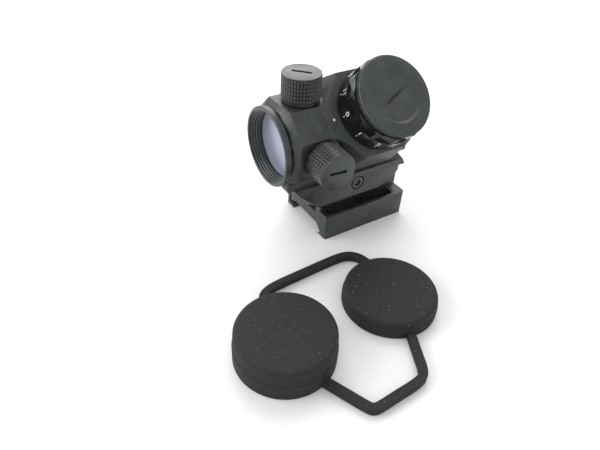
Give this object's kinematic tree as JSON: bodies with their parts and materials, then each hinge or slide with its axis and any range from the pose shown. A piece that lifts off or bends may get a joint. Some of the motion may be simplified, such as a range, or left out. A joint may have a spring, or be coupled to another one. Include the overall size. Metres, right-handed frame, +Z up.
{
  "type": "red dot finder sight",
  "caption": "Tube red dot sight on a clamp-on rail riser, with screw-capped adjusters, a numbered brightness dial over its battery, and a strapped rubber lens cover.",
  "frame": {"origin": "middle of the riser's rail seat, on the seat's face", "axes": "+Y forward along the sight line, +X to the user's right, +Z up"},
  "size_m": [0.1043, 0.0967, 0.0706],
  "materials": {
    "body_anodised": "bead blasted black anodised",
    "riser_anodised": "bead blasted black anodised",
    "ring_anodised": "satin black anodised",
    "cap_anodised": "knurled black anodised",
    "battery_cap_anodised": "satin grey anodised",
    "dial_gloss": "glossy black",
    "screw_black": "black oxide",
    "coated_glass": "blue anti-reflection coating",
    "clear_glass": "dichroic coated",
    "cover_rubber": "matte moulded rubber",
    "seal_rubber": "black nitrile rubber",
    "brass": "turned brass",
    "tube_black": "matt black inside and out",
    "spring_steel": "spring steel",
    "pin_steel": "ground steel",
    "battery_steel": "nickel plated",
    "board_green": "soldermask",
    "emitter_red": "moulded red",
    "index_white": "filled paint dot"
  },
  "bodies": {
    "chassis": {"battery": "battery_steel", "battery_contact_spring": "spring_steel", "battery_side_contact": "spring_steel", "bias_spring": "spring_steel", "circuit_board": "board_green", "detent_ball": "pin_steel", "detent_spring": "spring_steel", "dial_hub": "tube_black", "dial_retaining_ring": "spring_steel", "dial_seal": "seal_rubber", "elevation_collar": "brass", "emitter_lead": "seal_rubber", "eyepiece_clip_ring": "tube_black", "eyepiece_lens": "coated_glass", "eyepiece_ring": "ring_anodised", "eyepiece_seal": "seal_rubber", "housing": "body_anodised", "index_mark": "index_white", "jaw_guide_pins": "pin_steel", "objective_ring": "ring_anodised", "objective_seal": "seal_rubber", "riser_base": "riser_anodised", "windage_collar": "brass"},
    "riser_jaw": {"riser_clamp_jaw": "riser_anodised"},
    "riser_bolt": {"riser_clamp_bolt": "screw_black"},
    "foot_plate": {"foot_clamp_plate": "body_anodised"},
    "foot_screw": {"foot_cross_screw": "screw_black"},
    "pivot_ring": {"pivot_ring": "brass", "pivot_pins": "pin_steel"},
    "optic_tube": {"inner_tube": "tube_black", "objective_lens_rear": "clear_glass", "objective_lens_front": "coated_glass", "lens_lock_ring": "tube_black", "led_bracket": "tube_black", "led_emitter": "emitter_red"},
    "elevation_adjuster": {"elevation_adjuster": "brass"},
    "windage_adjuster": {"windage_adjuster": "brass"},
    "elevation_cap_lift": {"elevation_cap_seal": "seal_rubber"},
    "elevation_cap": {"elevation_cap": "cap_anodised"},
    "windage_cap_lift": {"windage_cap_seal": "seal_rubber"},
    "windage_cap": {"windage_cap": "cap_anodised"},
    "brightness_dial": {"brightness_dial": "dial_gloss"},
    "battery_cap_lift": {"battery_cap_seal": "seal_rubber"},
    "battery_cap": {"battery_cap": "battery_cap_anodised", "battery_cap_spring": "spring_steel"},
    "lens_cover": {"lens_cover": "cover_rubber"}
  },
  "joints": [
    {"name": "riser_jaw_open", "type": "slide", "parent": "chassis", "child": "riser_jaw", "axis": [-1, 0, 0], "range_m": [0, 0.0016]},
    {"name": "riser_bolt_turn", "type": "hinge", "parent": "riser_jaw", "child": "riser_bolt", "pos_m": [-0.0145, 0, 0.0007], "axis": [-1, 0, 0], "range_deg": [0, 720.5]},
    {"name": "foot_plate_open", "type": "slide", "parent": "chassis", "child": "foot_plate", "axis": [-1, 0, 0], "range_m": [0, 0.0014]},
    {"name": "foot_screw_turn", "type": "hinge", "parent": "chassis", "child": "foot_screw", "pos_m": [0.013, -0.005, 0.01745], "axis": [1, 0, 0], "range_deg": [0, 720.5]},
    {"name": "pivot_ring_swing", "type": "hinge", "parent": "chassis", "child": "pivot_ring", "pos_m": [0, 0.008, 0.0354], "axis": [0, 0, 1], "range_deg": [-0.5, 0.5]},
    {"name": "optic_tube_tilt", "type": "hinge", "parent": "pivot_ring", "child": "optic_tube", "pos_m": [0, 0.008, 0.0354], "axis": [-1, 0, 0], "range_deg": [-0.5, 0.5]},
    {"name": "elevation_adjust", "type": "hinge", "parent": "chassis", "child": "elevation_adjuster", "pos_m": [0, -0.0246, 0.0354], "axis": [0, 0, 1], "range_deg": [-180.2, 180.2]},
    {"name": "windage_adjust", "type": "hinge", "parent": "chassis", "child": "windage_adjuster", "pos_m": [0, -0.0246, 0.0354], "axis": [1, 0, 0], "range_deg": [-180.2, 180.2]},
    {"name": "elevation_cap_rise", "type": "slide", "parent": "chassis", "child": "elevation_cap_lift", "axis": [0, 0, 1], "range_m": [0, 0.00225]},
    {"name": "elevation_cap_unscrew", "type": "hinge", "parent": "elevation_cap_lift", "child": "elevation_cap", "pos_m": [0, -0.0246, 0.0354], "axis": [0, 0, 1], "range_deg": [0, 1080.5]},
    {"name": "windage_cap_rise", "type": "slide", "parent": "chassis", "child": "windage_cap_lift", "axis": [1, 0, 0], "range_m": [0, 0.00225]},
    {"name": "windage_cap_unscrew", "type": "hinge", "parent": "windage_cap_lift", "child": "windage_cap", "pos_m": [0, -0.0246, 0.0354], "axis": [1, 0, 0], "range_deg": [0, 1080.5]},
    {"name": "brightness_turn", "type": "hinge", "parent": "chassis", "child": "brightness_dial", "pos_m": [0, -0.0003, 0.0354], "axis": [0.7071, 0, 0.7071], "range_deg": [-330, 0]},
    {"name": "battery_cap_rise", "type": "slide", "parent": "chassis", "child": "battery_cap_lift", "axis": [0.7071, 0, 0.7071], "range_m": [0, 0.0015]},
    {"name": "battery_cap_unscrew", "type": "hinge", "parent": "battery_cap_lift", "child": "battery_cap", "pos_m": [0, -0.0003, 0.0354], "axis": [0.7071, 0, 0.7071], "range_deg": [0, 720.5]},
    {"name": "lens_cover_lift", "type": "slide", "parent": "chassis", "child": "lens_cover", "axis": [0.6, -0.4, 0.6928], "range_m": [0, 0.04]}
  ],
  "couplings": [
    {"joint": "riser_bolt_turn", "follows": "riser_jaw_open", "rad_per_m": 7854},
    {"joint": "foot_screw_turn", "follows": "foot_plate_open", "rad_per_m": 8976},
    {"joint": "windage_adjust", "follows": "pivot_ring_swing", "ratio": 360},
    {"joint": "elevation_adjust", "follows": "optic_tube_tilt", "ratio": 360},
    {"joint": "elevation_cap_unscrew", "follows": "elevation_cap_rise", "rad_per_m": 8377.6},
    {"joint": "windage_cap_unscrew", "follows": "windage_cap_rise", "rad_per_m": 8377.6},
    {"joint": "battery_cap_unscrew", "follows": "battery_cap_rise", "rad_per_m": 8377.6}
  ]
}
